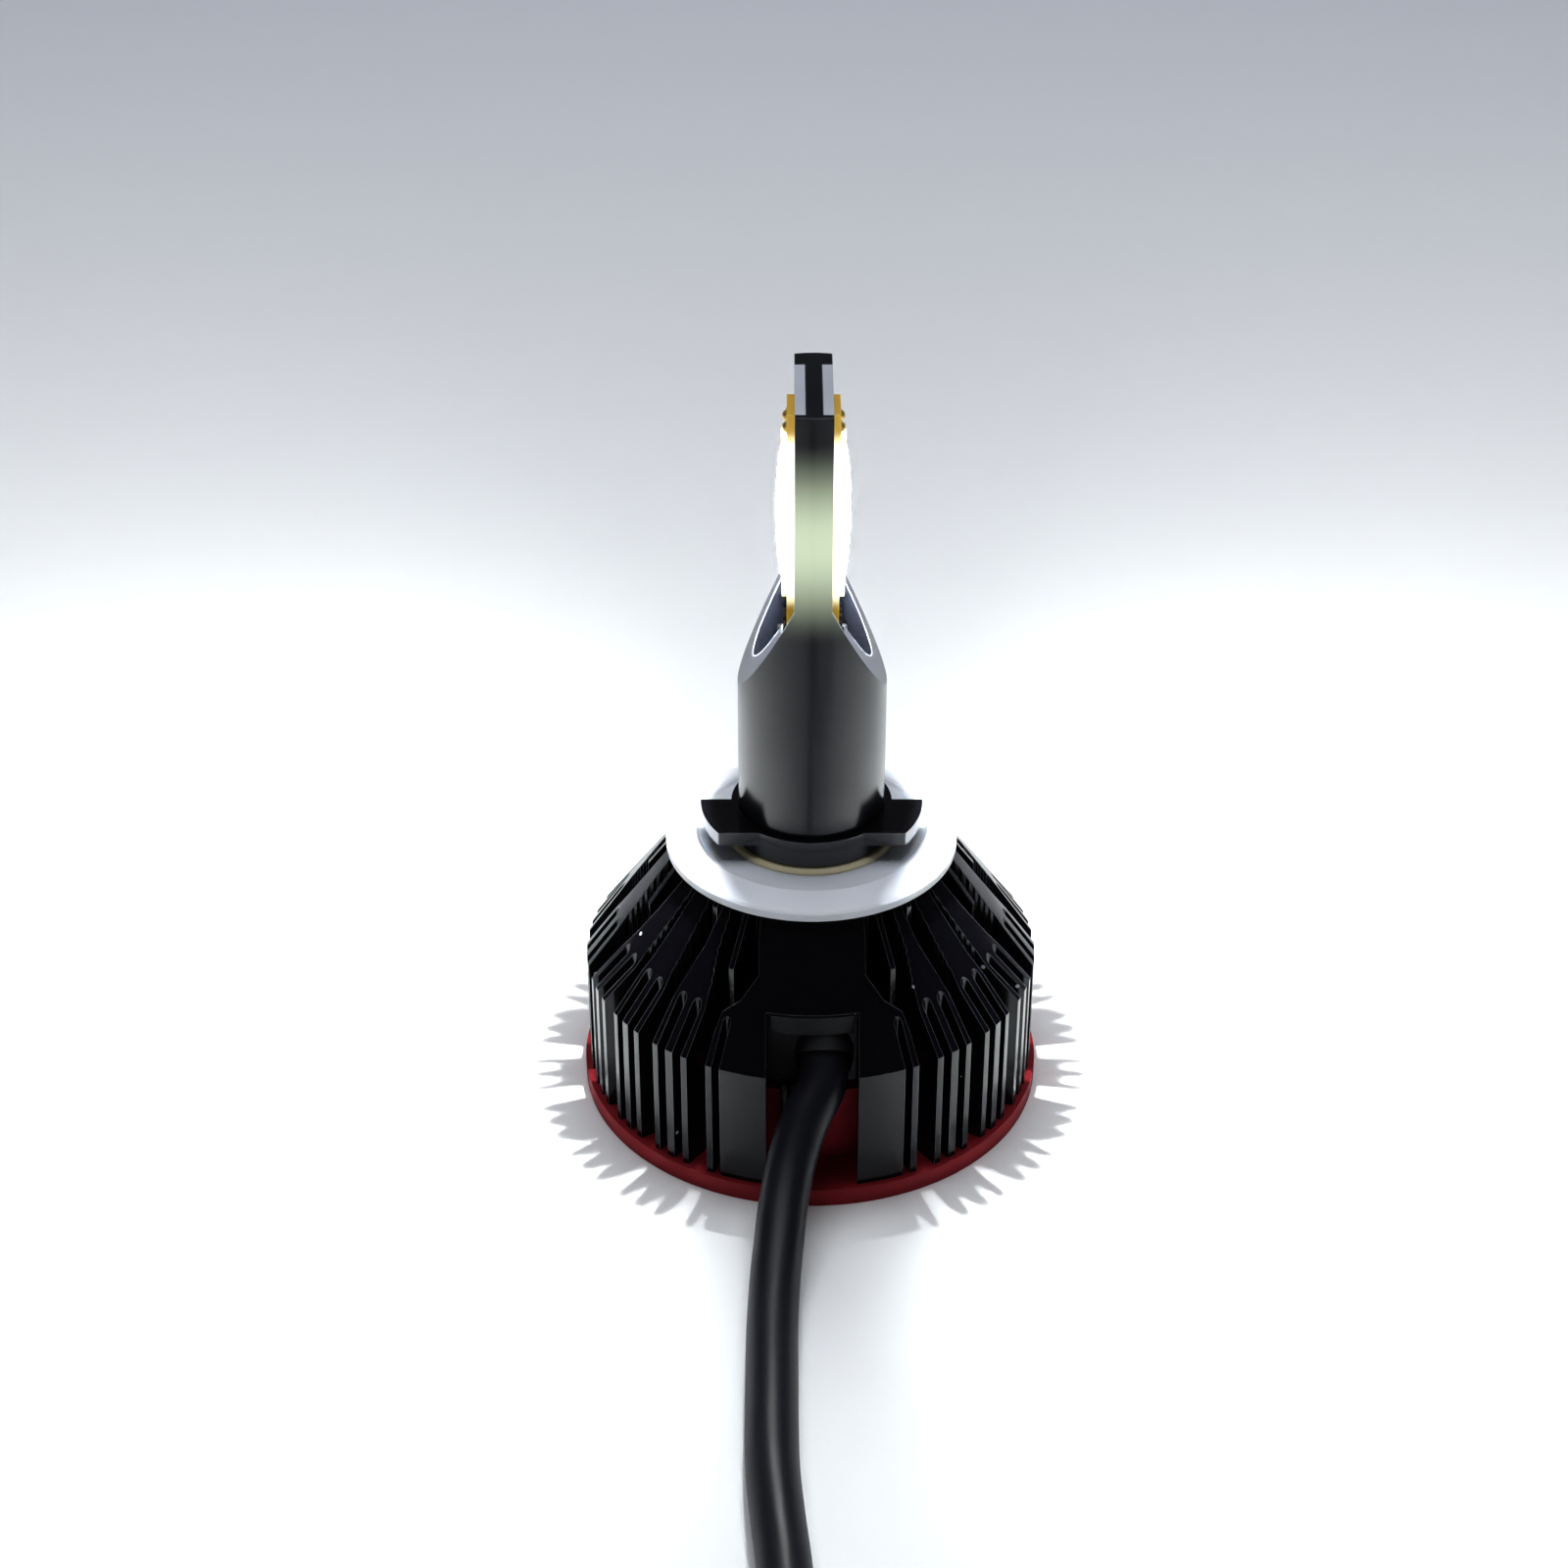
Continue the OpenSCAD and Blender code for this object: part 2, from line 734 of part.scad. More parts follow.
// One round of a tube: its ring of points about p, square to the direction t
function tube_ring(p, t, r) =
    let (side = unit(cross(t, [0, 0, 1])), up = cross(side, t))
    [for (k = [0 : lead_sides - 1])
        let (a = k * 360 / lead_sides) p + (side * cos(a) + up * sin(a)) * r];
function direction(route, i) =
    unit(route[min(i + 1, len(route) - 1)] - route[max(i - 1, 0)]);
module tube(route, r) {
    last = len(route) - 1;
    points = [for (i = [0 : last]) each tube_ring(route[i], direction(route, i), r)];
    sides = [for (i = [0 : last - 1], k = [0 : lead_sides - 1])
        let (a = i * lead_sides, n = (k + 1) % lead_sides)
        [a + k, a + lead_sides + k, a + lead_sides + n, a + n]];
    start = [for (k = [0 : lead_sides - 1]) k];
    end = [for (k = [lead_sides - 1 : -1 : 0]) last * lead_sides + k];
    polyhedron(points, concat([start], sides, [end]));
}

module cable() {
    color("#0c0c0e") tube(LEAD, lead_d / 2);
}

module cable_coil() {
    color("#0c0c0e")
        translate([coil_x, coil_y, 0]) ring(coil_r + lead_d / 2, coil_r - lead_d / 2, 0, coil_h);
}

module cable_tail() {
    color("#0c0c0e") tube(TAIL, lead_d / 2);
}

// ---- plug, drawn along -Y from the end of the lead ----
module plug_boot() {
    color("#1c1c1f")
        translate([plug_at.x, plug_at.y, plug_at.z])
            rotate([90, 0, 0])
                difference() {
                    union() {
                        cylinder(r1 = lead_d / 2 + 0.8, r2 = lead_d / 2 + 1.9, h = boot_len);
                        for (i = [1 : 3]) translate([0, 0, i * 1.7]) cylinder(r = lead_d / 2 + 2, h = 0.8);
                    }
                    translate([0, 0, -1]) cylinder(r = lead_d / 2 - 0.9, h = boot_len + 2);
                }
}

module plug_frame(y0, y1, half_w, z0, z1) {
    translate([plug_at.x, plug_at.y - boot_len, 0]) box([-half_w, -y1, z0], [half_w, -y0, z1]);
}

module plug_housing() {
    color("#2a2b2f")
        difference() {
            union() {
                plug_frame(0, plug_len, plug_w / 2, 0, plug_h);
                plug_frame(5, 6.5, plug_w / 2 + 0.8, 0, plug_h);
                plug_frame(9, 17, 2.2, plug_h - eps, plug_h + 1.3);
            }
            plug_frame(
                plug_len - cavity_deep, plug_len + 1,
                plug_w / 2 - cavity_wall, cavity_wall, plug_h - cavity_wall
            );
            for (side = [-1, 1])
                translate([plug_at.x + side * blade_pitch / 2, plug_at.y - boot_len, plug_h / 2])
                    box([-pin_t / 2, -plug_len + cavity_deep - 1, -pin_w / 2], [pin_t / 2, -5, pin_w / 2]);
        }
}

module plug_terminals() {
    color("#c9b26a")
        for (side = [-1, 1])
            translate([plug_at.x + side * blade_pitch / 2, plug_at.y - boot_len, plug_h / 2])
                box([-pin_t / 2, -plug_len + 2.5, -pin_w / 2], [pin_t / 2, -5, pin_w / 2]);
}

module plug_seal() {
    depth = plug_len - cavity_deep;
    color("#d5622a")
        difference() {
            plug_frame(depth, depth + 1.6, plug_w / 2 - cavity_wall, cavity_wall, plug_h - cavity_wall);
            plug_frame(
                depth - 1, depth + 3,
                plug_w / 2 - cavity_wall - 1, cavity_wall + 1, plug_h - cavity_wall - 1
            );
        }
}

stem();
carrier_plate_left();
carrier_plate_right();
led_board_left();
led_board_right();
led_strip_left();
led_strip_right();
lamp_wires();
lock_collar();
seal_ring();
neck_seal();
heat_sink();
fan_frame();
frame_screws();
cable_clamp();
cable_grommet();
supply_wires();
driver_board();
driver_coil();
driver_capacitors();
driver_chips();
bearing_sleeve();
fan_board();
stator_core();
stator_coils();
fan_wires();
fan_rotor();
rotor_yoke();
rotor_magnet();
fan_shaft();
shaft_clip();
cable();
cable_coil();
cable_tail();
plug_housing();
plug_boot();
plug_terminals();
plug_seal();
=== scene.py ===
# %% [markdown]
# # A finned LED headlight bulb
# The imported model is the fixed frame: its pieces are already the right size and in the right
# place. This lesson gives every piece a finish, adds the small things that only the eye
# needs, and lights the whole like a small product set.

# %% Load the frame
import json
import math

import bmesh
import bpy
from mathutils import Matrix, Vector


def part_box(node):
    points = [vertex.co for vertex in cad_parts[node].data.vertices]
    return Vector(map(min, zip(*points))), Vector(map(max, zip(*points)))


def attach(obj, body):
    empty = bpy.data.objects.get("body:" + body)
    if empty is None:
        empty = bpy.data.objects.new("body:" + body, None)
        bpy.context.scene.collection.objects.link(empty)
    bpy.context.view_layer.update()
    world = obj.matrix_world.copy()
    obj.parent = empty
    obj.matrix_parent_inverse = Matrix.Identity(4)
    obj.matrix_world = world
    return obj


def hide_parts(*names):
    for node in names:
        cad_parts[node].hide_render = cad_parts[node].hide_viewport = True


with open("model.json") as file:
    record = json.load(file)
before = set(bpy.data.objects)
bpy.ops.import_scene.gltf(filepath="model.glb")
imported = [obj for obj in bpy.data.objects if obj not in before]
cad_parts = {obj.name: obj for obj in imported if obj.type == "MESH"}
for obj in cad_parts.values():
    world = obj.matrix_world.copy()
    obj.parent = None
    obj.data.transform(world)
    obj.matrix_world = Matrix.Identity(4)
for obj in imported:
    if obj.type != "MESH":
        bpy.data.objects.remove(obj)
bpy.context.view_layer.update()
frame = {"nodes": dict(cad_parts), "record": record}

MM = 0.001

# %% [markdown]
# ## The camera
# It looks down on the bulb from the side that the lead leaves, through a long lens, so the
# stem keeps its slim shape. It stands level with no roll, and only its pitch is set.

# %% Camera
CAMERA_PLACE = (-0.0025, -0.2216, 0.1713)
CAMERA_PITCH = 32.26
camera_data = bpy.data.cameras.new("camera")
camera_data.lens = 66.33
camera_data.sensor_width = 36
camera_data.clip_start = 0.01
camera = bpy.data.objects.new("camera", camera_data)
camera.location = CAMERA_PLACE
camera.rotation_euler = (math.radians(90 - CAMERA_PITCH), 0, 0)
bpy.context.scene.collection.objects.link(camera)
bpy.context.scene.camera = camera
print("camera at", CAMERA_PLACE, "pitch", CAMERA_PITCH)

# %% [markdown]
# ## The lead's route
# A lead is one length of something flexible, so it is drawn along one smooth curve. The loose
# stretch follows listed points, the spare length makes one turn of a coil, and the
# end rises a little into the plug. A loop works the coil out from its centre and radius.

# %% Points of the route, in millimetres
LEAD_D = 4.4 * MM
LEAD = [
    (1.1, -16.6, 13.5), (0.9, -18.5, 11.6), (-0.4, -20.5, 9.8), (-1.4, -22.6, 8),
    (-2.1, -24.9, 6.4), (-2.6, -27.5, 5), (-2.9, -30.3, 3.9), (-3.2, -33.5, 3),
    (-3.4, -37, 2.4), (-3.5, -41, 2.2), (-3.5, -46, 2.2), (-3.5, -51, 2.2),
    (-3.4, -56, 2.2), (-3, -61, 2.2), (-2.5, -66, 2.2), (-2.1, -72, 2.2),
    (-2, -78, 2.2), (-2, -85, 2.2), (-2, -92, 2.2), (-2, -98, 2.2),
]
TAIL = [(-2, -98, 6.6), (-2.1, -102, 6.6), (-2.6, -106, 6.3), (-3.4, -110, 5.8), (-4, -114, 5.5)]
COIL_CENTRE = (22, -98)
COIL_R = 24
COIL_STEPS = 48
# The lead lies this high at its middle, and climbs by one diameter onto its own start.
LYING = 2.2
STACKED = 4.4
# The climb, in degrees of the turn, and how long before the turn's end it is done.
CLIMB = 40
CLIMB_DONE = 25


def coil_points():
    """One turn, counter-clockwise, that climbs onto its own start over its last degrees."""
    made = []
    for step in range(1, COIL_STEPS):
        turned = 360 * step / COIL_STEPS
        climb = min(1, max(0, (turned - (360 - CLIMB - CLIMB_DONE)) / CLIMB))
        height = LYING + STACKED * climb * climb * (3 - 2 * climb)
        angle = math.radians(180 + turned)
        x = COIL_CENTRE[0] + COIL_R * math.cos(angle)
        y = COIL_CENTRE[1] + COIL_R * math.sin(angle)
        made.append((x, y, height))
    return made


route = [Vector(p) * MM for p in LEAD + coil_points() + TAIL]
print("points on the route:", len(route))

# %% [markdown]
# A spline through the points rounds every corner. Catmull-Rom passes through each point,
# so the lead stays on its route, and even steps keep the tube's rings square and equal.

# %% Smooth the route
RING_STEP = 0.9 * MM


def spline_point(a, b, c, d, t):
    """A point between b and c on the Catmull-Rom curve through a, b, c and d."""
    bend = 2 * a - 5 * b + 4 * c - d
    twist = 3 * b - a - 3 * c + d
    return 0.5 * (2 * b + (c - a) * t + bend * t ** 2 + twist * t ** 3)


def smooth_route(points, step):
    """Evenly spaced points along the smooth curve through all the given ones."""
    fine = []
    for i in range(len(points) - 1):
        a, d = points[max(i - 1, 0)], points[min(i + 2, len(points) - 1)]
        fine += [spline_point(a, points[i], points[i + 1], d, k / 12) for k in range(12)]
    fine.append(points[-1])
    total = sum((q - p).length for p, q in zip(fine, fine[1:]))
    count = round(total / step)
    even, walked, i = [fine[0]], 0.0, 0
    for k in range(1, count):
        while walked + (fine[i + 1] - fine[i]).length < total * k / count:
            walked += (fine[i + 1] - fine[i]).length
            i += 1
        left = total * k / count - walked
        even.append(fine[i].lerp(fine[i + 1], left / (fine[i + 1] - fine[i]).length))
    return even + [fine[-1]], total


lead_path, lead_length = smooth_route(route, RING_STEP)
print("lead length in mm:", round(lead_length / MM, 1), "rings:", len(lead_path))

# %% [markdown]
# ## The lead itself
# The real jacket is extruded: one circle pulled along the route. The mesh is made the same
# way, by extruding a ring of edges again and again. Each ring notes how far along the lead
# and how far around it every vertex lies, and the stripe's pattern reads those two values.

# %% Pull a circle along the route
LEAD_SIDES = 28


def turned_to(point, direction):
    """The place and turn that stand a flat ring square to the lead."""
    side = direction.cross(Vector((0, 0, 1))).normalized()
    up = side.cross(direction)
    turn = Matrix((side, up, -direction)).transposed()
    return Matrix.Translation(point) @ turn.to_4x4()


def link(name, bm, body="bulb"):
    """Makes the bmesh an object that rides on a body."""
    mesh = bpy.data.meshes.new(name)
    bm.to_mesh(mesh)
    bm.free()
    piece = bpy.data.objects.new(name, mesh)
    bpy.context.scene.collection.objects.link(piece)
    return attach(piece, body)


def smooth(piece, angle=35):
    """Shades a piece smoothly except across its sharp edges."""
    piece.data.shade_smooth()
    piece.data.set_sharp_from_angle(angle=math.radians(angle))
    return piece


def pull_tube(name, path, radius, sides):
    """A closed tube along the path, with its distance and turn kept on each vertex."""
    bm = bmesh.new()
    along = bm.verts.layers.float.new("along")
    around = bm.verts.layers.float.new("around")
    ring = bmesh.ops.create_circle(bm, cap_ends=True, segments=sides, radius=radius)["verts"]
    for v in ring:
        v[around] = (math.atan2(v.co.y, v.co.x) / math.tau) % 1
    bmesh.ops.recalc_face_normals(bm, faces=bm.faces[:])
    edges, placed, walked = bm.edges[:], Matrix.Identity(4), 0.0
    for i, point in enumerate(path):
        ahead = (path[min(i + 1, len(path) - 1)] - path[max(i - 1, 0)]).normalized()
        if i:
            walked += (point - path[i - 1]).length
            made = bmesh.ops.extrude_edge_only(bm, edges=edges)["geom"]
            ring = [g for g in made if isinstance(g, bmesh.types.BMVert)]
            edges = [g for g in made if isinstance(g, bmesh.types.BMEdge) and g.is_boundary]
        place = turned_to(point, ahead)
        bmesh.ops.transform(bm, matrix=place @ placed.inverted(), verts=ring)
        placed = place
        for v in ring:
            v[along] = walked
    bmesh.ops.contextual_create(bm, geom=edges)
    bmesh.ops.recalc_face_normals(bm, faces=bm.faces[:])
    return smooth(link(name, bm), 60)


lead = pull_tube("lead", lead_path, LEAD_D / 2, LEAD_SIDES)
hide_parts("cable", "cable_coil", "cable_tail")
print("lead faces:", len(lead.data.polygons))

# %% [markdown]
# ## The set
# The bulb stands on a white sweep: a flat floor that curls up far behind. The sweep's colour
# darkens a little towards its back, a painted shade where the lamps above it don't reach.

# %% Floor sweep
FLOOR_FRONT, FLOOR_BACK, FLOOR_HALF, CURL = -0.9, 0.5, 1.2, 0.35


def make_sweep():
    """A floor line pulled sideways into a sheet, with a quarter turn at its back."""
    bm = bmesh.new()
    start = bm.verts.new((-FLOOR_HALF, FLOOR_FRONT, 0))
    flat = bm.verts.new((-FLOOR_HALF, FLOOR_BACK, 0))
    bm.edges.new((start, flat))
    bmesh.ops.spin(
        bm, geom=[flat], cent=(-FLOOR_HALF, FLOOR_BACK, CURL), axis=(1, 0, 0),
        angle=math.radians(90), steps=24,
    )
    pulled = bmesh.ops.extrude_edge_only(bm, edges=bm.edges[:])["geom"]
    far = [g for g in pulled if isinstance(g, bmesh.types.BMVert)]
    bmesh.ops.translate(bm, verts=far, vec=(2 * FLOOR_HALF, 0, 0))
    bmesh.ops.recalc_face_normals(bm, faces=bm.faces[:])
    if bm.faces[0].normal.z < 0:
        bmesh.ops.reverse_faces(bm, faces=bm.faces[:])
    mesh = bpy.data.meshes.new("sweep")
    bm.to_mesh(mesh)
    bm.free()
    sweep = bpy.data.objects.new("sweep", mesh)
    bpy.context.scene.collection.objects.link(sweep)
    return smooth(sweep)


sweep = make_sweep()
print("sweep faces:", len(sweep.data.polygons))

# %% [markdown]
# ## Lamps
# The bulb is lit, and its own strips are the strongest light here: they whiten the floor on
# both sides and throw the fins' toothed shadow. One wide soft box overhead only fills, and a
# faint one in front opens the darkest black. The room behind the camera stays dark, because
# black gloss shows nothing but its surroundings.

# %% Area lamps and the sky
def area_lamp(name, place, aim, size, power, tint=(1, 1, 1)):
    """A rectangular soft lamp that points at aim."""
    data = bpy.data.lights.new(name, "AREA")
    data.shape = "RECTANGLE"
    data.size, data.size_y = size
    data.energy = power
    data.color = tint
    lamp = bpy.data.objects.new(name, data)
    lamp.location = place
    lamp.rotation_euler = (Vector(aim) - Vector(place)).to_track_quat("-Z", "Y").to_euler()
    bpy.context.scene.collection.objects.link(lamp)
    return lamp


COOL = (0.93, 0.96, 1.0)
area_lamp("overhead", (0, 0.10, 0.9), (0, 0, 0), (0.7, 0.5), 4.7, COOL)
area_lamp("front_fill", (0.06, -0.55, 0.06), (0, 0, 0.01), (0.36, 0.10), 0.16, COOL)

world = bpy.data.worlds.new("studio")
bpy.context.scene.world = world
world.use_nodes = True
world.node_tree.nodes["Background"].inputs["Color"].default_value = (0.80, 0.82, 0.88, 1)
world.node_tree.nodes["Background"].inputs["Strength"].default_value = 0.045

# %% [markdown]
# A plain transform with some added contrast keeps black deep and lets white run out to
# white, which a set this bright needs. The softer default would lift the anodised black.

# %% Tone
look = bpy.context.scene.view_settings
look.view_transform = "Standard"
look.look = "Medium High Contrast"
look.exposure = 0.0
print("view:", look.view_transform, "with", look.look)

# %% [markdown]
# ## Shared effects
# Four small effects turn up again and again on this bulb, so each is a node group. A group
# gives out only a mask, a height or a normal, and each finish decides what to do with it.

# %% A helper for making groups
def new_group(name, inputs, outputs):
    """A shader group with float inputs and the given outputs. Gives back its tree and ends."""
    tree = bpy.data.node_groups.new(name, "ShaderNodeTree")
    for label, value in inputs:
        tree.interface.new_socket(label, in_out="INPUT", socket_type="NodeSocketFloat").default_value = value
    for label, kind in outputs:
        tree.interface.new_socket(label, in_out="OUTPUT", socket_type=kind)
    return tree, tree.nodes.new("NodeGroupInput"), tree.nodes.new("NodeGroupOutput")


def join(tree, *pairs):
    """Links each pair of sockets."""
    for source, target in pairs:
        tree.links.new(source, target)


def node(tree, kind, **settings):
    """A node with its own properties set by name."""
    made = tree.nodes.new(kind)
    for label, value in settings.items():
        setattr(made, label, value)
    return made


def math_node(tree, operation, first, second):
    """A Math node whose two inputs are sockets or plain numbers."""
    made = node(tree, "ShaderNodeMath", operation=operation)
    for socket, value in zip(made.inputs, (first, second)):
        if isinstance(value, bpy.types.NodeSocket):
            tree.links.new(value, socket)
        else:
            socket.default_value = value
    return made.outputs[0]


FLOAT, VECTOR = "NodeSocketFloat", "NodeSocketVector"
print("group helpers ready")

# %% [markdown]
# Turned and moulded edges are never razor sharp. The Bevel node bends the normal near an
# edge, and where the bent normal leaves the true one, an edge is near: that is the mask.
# Each finish lightens its colour under the mask, a painted highlight on the edges.

# %% Soft edges
def make_soft_edges():
    tree, given, out = new_group("soft_edges", [("Radius", 0.0002)], [("Normal", VECTOR), ("Edge", FLOAT)])
    bevel = node(tree, "ShaderNodeBevel", samples=6)
    surface = node(tree, "ShaderNodeNewGeometry")
    dot = node(tree, "ShaderNodeVectorMath", operation="DOT_PRODUCT")
    edge = node(tree, "ShaderNodeMapRange")
    edge.inputs["From Min"].default_value = 0.995
    edge.inputs["From Max"].default_value = 0.86
    join(
        tree, (given.outputs["Radius"], bevel.inputs["Radius"]), (bevel.outputs[0], dot.inputs[0]),
        (surface.outputs["Normal"], dot.inputs[1]), (dot.outputs["Value"], edge.inputs["Value"]),
        (bevel.outputs[0], out.inputs["Normal"]), (edge.outputs[0], out.inputs["Edge"]),
    )
    return tree


soft_edges = make_soft_edges()
print("group:", soft_edges.name)

# %% [markdown]
# Grain is the fine bite of bead blasting or a mould's texture, and mottle is the slow change
# of shade over a whole piece. Both come from noise on the object's own coordinates.

# %% Grain and mottle
def make_grain():
    tree, given, out = new_group(
        "grain", [("Grain Scale", 3000), ("Mottle Scale", 90)], [("Height", FLOAT), ("Mottle", FLOAT)]
    )
    place = node(tree, "ShaderNodeTexCoord")
    for label, scale, detail in (("Height", "Grain Scale", 3), ("Mottle", "Mottle Scale", 4)):
        noise = node(tree, "ShaderNodeTexNoise")
        noise.inputs["Detail"].default_value = detail
        join(
            tree, (place.outputs["Object"], noise.inputs["Vector"]),
            (given.outputs[scale], noise.inputs["Scale"]), (noise.outputs["Fac"], out.inputs[label]),
        )
    return tree


grain = make_grain()
print("group:", grain.name)

# %% [markdown]
# Dust is a scatter of tiny pale specks. Voronoi cells give one random dot each, and a second
# random value per cell lets only a few of them show.

# %% Dust
def make_dust():
    tree, given, out = new_group("dust", [("Scale", 900), ("Share", 0.04), ("Size", 0.18)], [("Mask", FLOAT)])
    place = node(tree, "ShaderNodeTexCoord")
    cells = node(tree, "ShaderNodeTexVoronoi")
    chosen = node(tree, "ShaderNodeSeparateColor")
    join(
        tree, (place.outputs["Object"], cells.inputs["Vector"]),
        (given.outputs["Scale"], cells.inputs["Scale"]),
        (cells.outputs["Color"], chosen.inputs["Color"]),
    )
    near = math_node(tree, "LESS_THAN", cells.outputs["Distance"], given.outputs["Size"])
    few = math_node(tree, "LESS_THAN", chosen.outputs["Red"], given.outputs["Share"])
    join(tree, (math_node(tree, "MULTIPLY", near, few), out.inputs["Mask"]))
    return tree


dust = make_dust()
print("group:", dust.name)

# %% [markdown]
# A lathe leaves fine rings about the axis. Noise read on the distance from the axis and the
# height alone is the same all the way round, which is just what a cutting tool leaves.

# %% Lathe rings
def make_lathe_rings():
    tree, given, out = new_group("lathe_rings", [("Scale", 4000)], [("Height", FLOAT)])
    place = node(tree, "ShaderNodeTexCoord")
    parts = node(tree, "ShaderNodeSeparateXYZ")
    flat = node(tree, "ShaderNodeCombineXYZ")
    reach = node(tree, "ShaderNodeVectorMath", operation="LENGTH")
    profile = node(tree, "ShaderNodeCombineXYZ")
    noise = node(tree, "ShaderNodeTexNoise")
    join(
        tree, (place.outputs["Object"], parts.inputs[0]), (parts.outputs["X"], flat.inputs["X"]),
        (parts.outputs["Y"], flat.inputs["Y"]), (flat.outputs[0], reach.inputs[0]),
        (reach.outputs["Value"], profile.inputs["X"]), (parts.outputs["Z"], profile.inputs["Y"]),
        (profile.outputs[0], noise.inputs["Vector"]), (given.outputs["Scale"], noise.inputs["Scale"]),
        (noise.outputs["Fac"], out.inputs["Height"]),
    )
    return tree


lathe_rings = make_lathe_rings()
print("group:", lathe_rings.name)

# %% [markdown]
# ## The common finish
# Most pieces differ only in colour, gloss, grain and a painted highlight on their edges. One
# function builds that chain of nodes, and each finish below gives it its own values.

# %% Finish helper
def placed_group(tree, group, **values):
    """A group node in a material, with its inputs set."""
    made = node(tree, "ShaderNodeGroup", node_tree=group)
    for label, value in values.items():
        made.inputs[label.replace("_", " ")].default_value = value
    return made


def colour_mix(tree, mask, first, second):
    """A colour that goes from first to second where the mask is 1."""
    made = node(tree, "ShaderNodeMix", data_type="RGBA")
    for socket, value in zip((made.inputs[6], made.inputs[7]), (first, second)):
        if isinstance(value, bpy.types.NodeSocket):
            tree.links.new(value, socket)
        else:
            socket.default_value = (*value, 1)
    tree.links.new(mask, made.inputs[0])
    return made.outputs[2]


def finish(name, colour, rough, metal=0.0, grain_scale=3000, bump=0.02, mottle=0.15, edge=0.15,
           edge_highlight_colour=None, coat=0.0, dusty=0.0, rings=0.0, radius=0.00012, shine=0.5):
    """A Principled material with mottled colour, grain, soft edges with a painted highlight and, if asked,
    dust or rings.
    """
    made = bpy.data.materials.new(name)
    made.use_nodes = True
    tree = made.node_tree
    shader = tree.nodes["Principled BSDF"]
    shader.inputs["Metallic"].default_value = metal
    shader.inputs["Coat Weight"].default_value = coat
    shader.inputs["Coat Roughness"].default_value = 0.12
    shader.inputs["Specular IOR Level"].default_value = shine
    noise = placed_group(tree, grain, Grain_Scale=grain_scale)
    edges = placed_group(tree, soft_edges, Radius=radius)
    dark = tuple(c * (1 - mottle) for c in colour)
    light = tuple(min(1, c * (1 + mottle)) for c in colour)
    shade = colour_mix(tree, noise.outputs["Mottle"], dark, light)
    # The lighter colour along the edges is a painted highlight.
    edge_highlight = edge_highlight_colour or tuple(min(1, c * 1.6 + 0.02) for c in colour)
    shade = colour_mix(tree, math_node(tree, "MULTIPLY", edges.outputs["Edge"], edge), shade, edge_highlight)
    if dusty:
        specks = placed_group(tree, dust, Share=dusty)
        shade = colour_mix(tree, specks.outputs["Mask"], shade, (0.55, 0.56, 0.6))
    join(tree, (shade, shader.inputs["Base Color"]))
    gloss = node(tree, "ShaderNodeMapRange")
    gloss.inputs["To Min"].default_value = rough * 0.85
    gloss.inputs["To Max"].default_value = min(1, rough * 1.2)
    join(
        tree, (noise.outputs["Mottle"], gloss.inputs["Value"]),
        (gloss.outputs[0], shader.inputs["Roughness"]),
    )
    relief = node(tree, "ShaderNodeBump")
    relief.inputs["Distance"].default_value = 0.0001
    relief.inputs["Strength"].default_value = bump
    height = noise.outputs["Height"]
    if rings:
        marks = placed_group(tree, lathe_rings)
        height = math_node(tree, "ADD", height, math_node(tree, "MULTIPLY", marks.outputs["Height"], rings))
    join(
        tree, (height, relief.inputs["Height"]), (edges.outputs["Normal"], relief.inputs["Normal"]),
        (relief.outputs["Normal"], shader.inputs["Normal"]),
    )
    return made


finishes = {}
print("finish helper ready")

# %% [markdown]
# ## Metals
# The stem is bead blasted and anodised, so it is dark with a soft sheen. The heat sink is
# anodised over a cut surface and stays glossy: its edges carry a painted highlight, its cone
# keeps the lathe's rings and it gathers dust. The bare plates and the steel were never coated.

# %% Metal finishes
finishes["stem_black"] = finish(
    "stem_black", (0.009, 0.010, 0.014), 0.22, metal=0.0, grain_scale=5200, bump=0.04, edge=0.55,
    edge_highlight_colour=(0.20, 0.21, 0.25), radius=0.00018, shine=0.5,
)
finishes["sink_black"] = finish(
    "sink_black", (0.004, 0.004, 0.006), 0.20, metal=0.1, grain_scale=2200, bump=0.02, edge=0.6,
    edge_highlight_colour=(0.17, 0.18, 0.21), coat=0.08, dusty=0.010, rings=0.8, radius=0.0001, shine=0.30,
)
finishes["bare_plate"] = finish("bare_plate", (0.70, 0.73, 0.80), 0.42, metal=0.35, rings=0.5, bump=0.05)
finishes["gilt"] = finish("gilt", (0.80, 0.56, 0.20), 0.28, metal=0.8, bump=0.04)
finishes["zinc_screw"] = finish("zinc_screw", (0.52, 0.54, 0.58), 0.32, metal=1, bump=0.05)
finishes["motor_steel"] = finish("motor_steel", (0.40, 0.41, 0.44), 0.38, metal=1, rings=0.8, bump=0.05)
finishes["shaft_steel"] = finish("shaft_steel", (0.72, 0.73, 0.76), 0.12, metal=1, bump=0.01)
finishes["terminal_tin"] = finish("terminal_tin", (0.66, 0.64, 0.58), 0.24, metal=1, bump=0.02)
finishes["sleeve_bronze"] = finish("sleeve_bronze", (0.46, 0.29, 0.12), 0.45, metal=0.9, bump=0.1)
finishes["copper_winding"] = finish(
    "copper_winding", (0.50, 0.19, 0.06), 0.28, metal=0.8, coat=0.5, rings=1.5, bump=0.2
)
print("metal finishes:", len(finishes))

# %% [markdown]
# ## Plastics, rubbers and boards
# Moulded plastic has a fine matte texture, and rubber is softer still. The foot's red is a
# brick red with little shine. The collar is the glossiest of the plastics.

